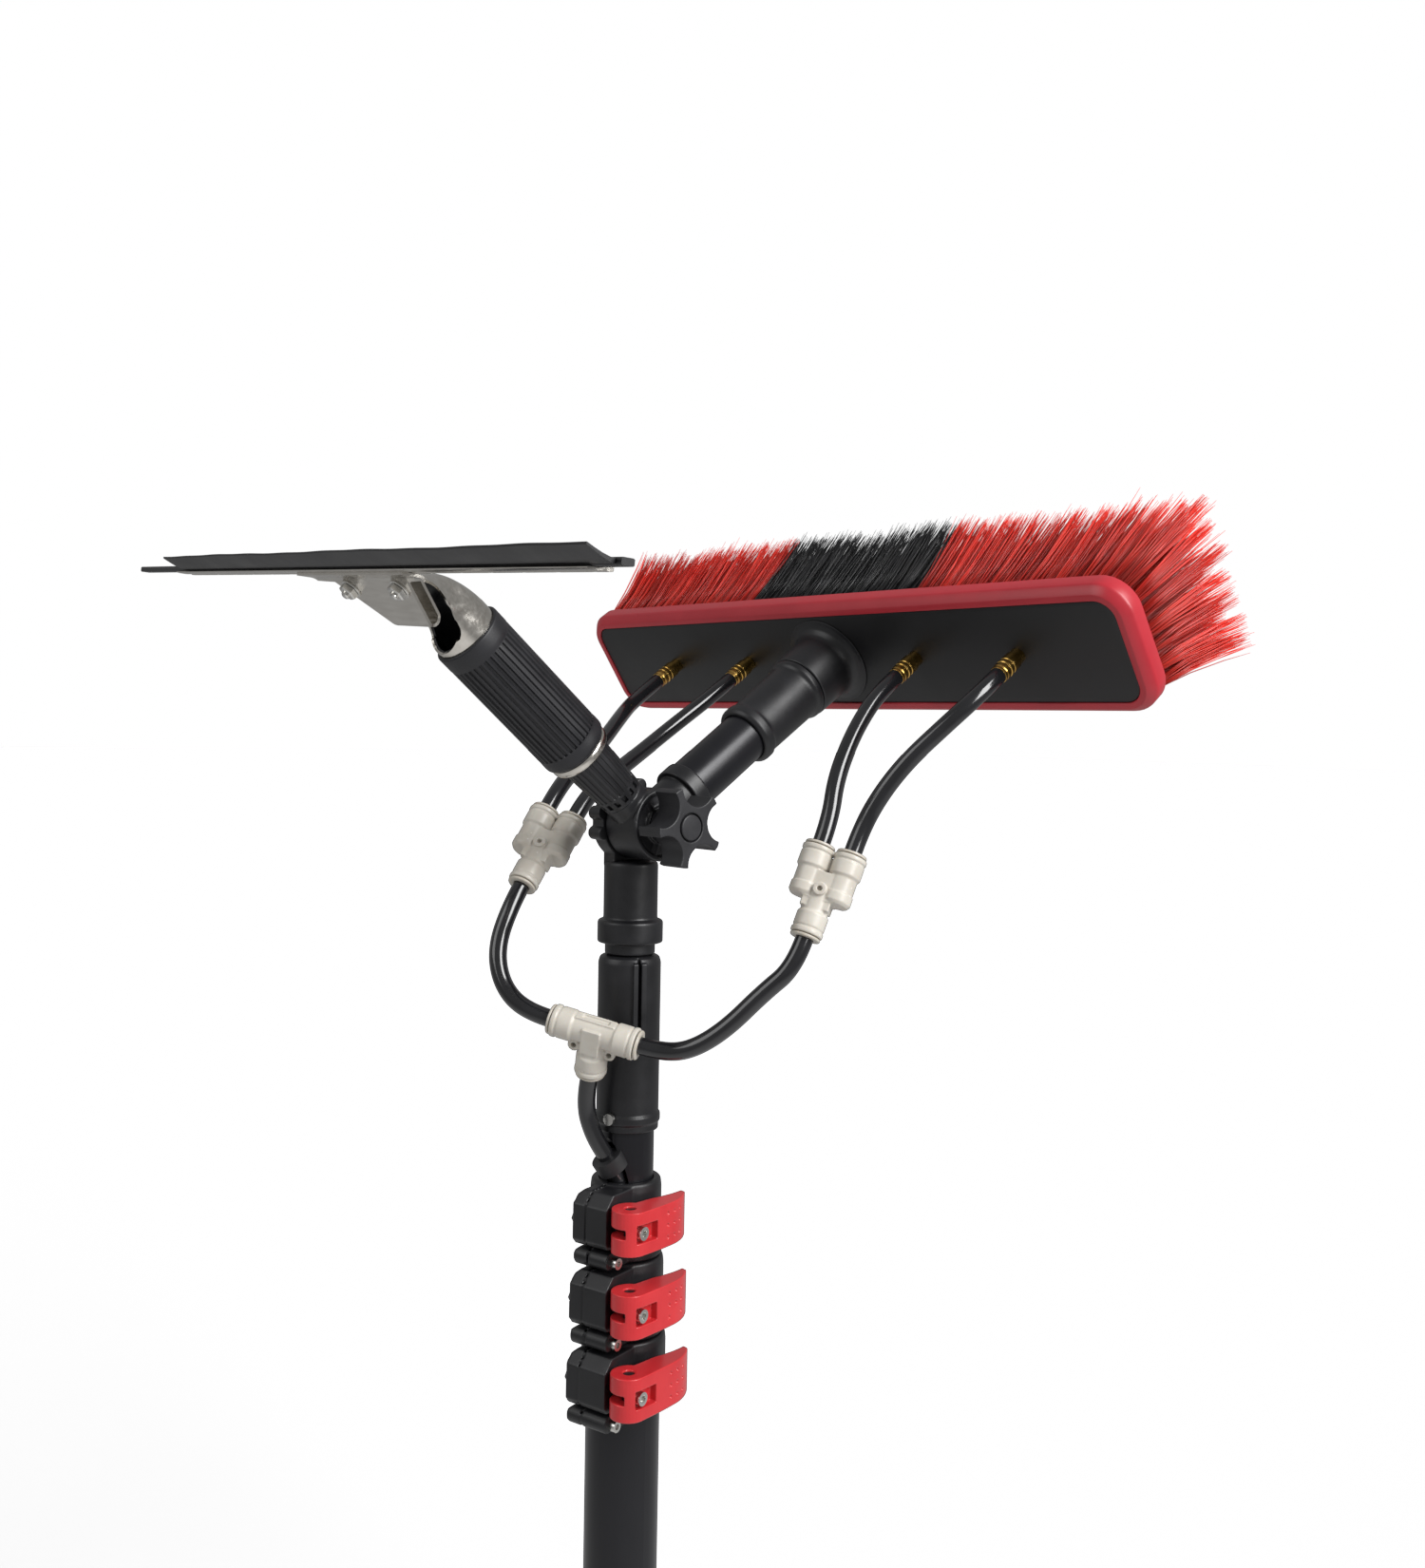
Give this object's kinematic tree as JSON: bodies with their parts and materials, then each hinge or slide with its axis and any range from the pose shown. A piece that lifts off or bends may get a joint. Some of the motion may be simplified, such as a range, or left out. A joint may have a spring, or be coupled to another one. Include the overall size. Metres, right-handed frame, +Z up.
{
  "type": "window cleaning pole system",
  "caption": "Telescopic water-fed window cleaning pole with flip-lock clamps, a tilting head that carries a wide brush and a squeegee, and a branching hose harness.",
  "frame": {"origin": "on the pole axis, 100 mm above the lower end of the outer tube, in the middle of its 200 mm hand grip zone", "axes": "+Z up along the pole, +X along the axis of the tilt joint towards the star knob, +Y towards the brush"},
  "size_m": [0.425, 0.3783, 1.231],
  "materials": {
    "anodised_tube": "satin black anodised",
    "black_plastic": "fine moulded texture",
    "knob_plastic": "matte moulded",
    "cap_plastic": "smooth moulded",
    "lever_red": "semi-gloss moulded",
    "block_red": "satin moulded",
    "plate_black": "smooth satin",
    "bristle_red": "polymer bristle",
    "bristle_black": "polymer bristle",
    "grip_rubber": "fluted soft rubber",
    "blade_rubber": "smooth rubber",
    "stainless": "brushed stainless",
    "zinc_steel": "bright zinc",
    "brass": "turned brass",
    "fitting_white": "off-white moulded",
    "collar_grey": "off-white release collar",
    "hose_black": "glossy polyurethane hose",
    "grommet_rubber": "soft rubber",
    "glide_nylon": "nylon"
  },
  "bodies": {
    "outer_section": {"outer_tube": "anodised_tube", "foot_cap": "black_plastic", "clamp_3_body": "black_plastic", "clamp_3_draw_bolt": "zinc_steel", "clamp_3_pinch_screw": "zinc_steel"},
    "lever_3": {"clamp_3_lever": "lever_red", "clamp_3_adjuster_screw": "zinc_steel"},
    "section_2": {"section_2_tube": "anodised_tube", "section_2_glide": "glide_nylon", "clamp_2_body": "black_plastic", "clamp_2_draw_bolt": "zinc_steel", "clamp_2_pinch_screw": "zinc_steel"},
    "lever_2": {"clamp_2_lever": "lever_red", "clamp_2_adjuster_screw": "zinc_steel"},
    "section_3": {"section_3_tube": "anodised_tube", "section_3_glide": "glide_nylon", "clamp_1_body": "black_plastic", "clamp_1_draw_bolt": "zinc_steel", "clamp_1_pinch_screw": "zinc_steel"},
    "lever_1": {"clamp_1_lever": "lever_red", "clamp_1_adjuster_screw": "zinc_steel"},
    "top_section": {"top_tube": "anodised_tube", "top_glide": "glide_nylon", "hose_grommet": "grommet_rubber", "pole_socket": "black_plastic", "socket_screw": "zinc_steel", "hub_stem": "black_plastic", "hub_bolt": "zinc_steel", "tee_fitting": "fitting_white", "tee_collars": "collar_grey", "hose_feed": "hose_black", "hose_tee_left": "hose_black", "hose_tee_right": "hose_black"},
    "knob": {"hub_knob": "knob_plastic", "hub_knob_cap": "cap_plastic"},
    "head": {"hub_yoke": "black_plastic", "brush_arm_tube": "anodised_tube", "brush_sleeve": "black_plastic", "brush_neck": "black_plastic", "brush_block": "block_red", "brush_plate": "plate_black", "bristles_red_left": "bristle_red", "bristles_black": "bristle_black", "bristles_red_right": "bristle_red", "brass_barbs": "brass", "squeegee_cone": "black_plastic", "squeegee_ring": "stainless", "squeegee_grip": "grip_rubber", "squeegee_tube": "stainless", "squeegee_bracket": "stainless", "bracket_bolts": "zinc_steel", "squeegee_channel": "stainless", "squeegee_rubber": "blade_rubber", "wye_left_fitting": "fitting_white", "wye_right_fitting": "fitting_white", "wye_collars": "collar_grey", "hose_brush_1": "hose_black", "hose_brush_2": "hose_black", "hose_brush_3": "hose_black", "hose_brush_4": "hose_black"}
  },
  "joints": [
    {"name": "section_2_slide", "type": "slide", "parent": "outer_section", "child": "section_2", "axis": [0, 0, 1], "range_m": [0, 0.65]},
    {"name": "section_3_slide", "type": "slide", "parent": "section_2", "child": "section_3", "axis": [0, 0, 1], "range_m": [0, 0.65]},
    {"name": "top_section_slide", "type": "slide", "parent": "section_3", "child": "top_section", "axis": [0, 0, 1], "range_m": [0, 0.65]},
    {"name": "lever_1_open", "type": "hinge", "parent": "section_3", "child": "lever_1", "pos_m": [0.0263, -0.01847, 0.7817], "axis": [0, 0, -1], "range_deg": [0, 100]},
    {"name": "lever_2_open", "type": "hinge", "parent": "section_2", "child": "lever_2", "pos_m": [0.02822, -0.01968, 0.7447], "axis": [0, 0, -1], "range_deg": [0, 100]},
    {"name": "lever_3_open", "type": "hinge", "parent": "outer_section", "child": "lever_3", "pos_m": [0.03013, -0.02089, 0.7077], "axis": [0, 0, -1], "range_deg": [0, 100]},
    {"name": "head_tilt", "type": "hinge", "parent": "top_section", "child": "head", "pos_m": [0, 0, 0.967], "axis": [1, 0, 0], "range_deg": [-40, 20], "deforming": ["hose_tee_left", "hose_tee_right"]},
    {"name": "knob_spin", "type": "hinge", "parent": "top_section", "child": "knob", "pos_m": [0, 0, 0.967], "axis": [1, 0, 0], "continuous": true}
  ]
}
